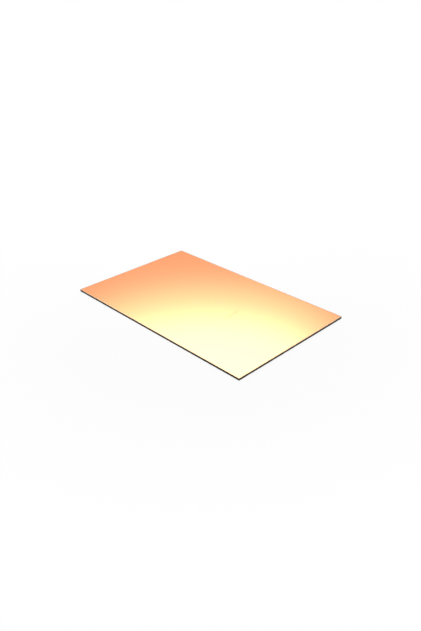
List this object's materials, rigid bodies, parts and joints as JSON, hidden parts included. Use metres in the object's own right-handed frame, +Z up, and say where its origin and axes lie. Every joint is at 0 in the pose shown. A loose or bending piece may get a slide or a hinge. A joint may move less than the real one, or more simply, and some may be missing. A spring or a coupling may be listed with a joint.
{
  "type": "copper clad board",
  "caption": "Flat rectangular blank of pressed laminate with copper foil bonded over its whole top face, cut square and left undrilled.",
  "frame": {"origin": "middle of the board's underside", "axes": "+X along the board's length, +Y across its width, +Z up out of the copper face"},
  "size_m": [0.16, 0.1, 0.0016],
  "materials": {
    "laminate": "dark cured laminate, satin on its pressed face and dull on its sheared edges",
    "copper": null
  },
  "bodies": {
    "root": {"laminate_core": "laminate", "copper_foil": "copper"}
  },
  "joints": []
}
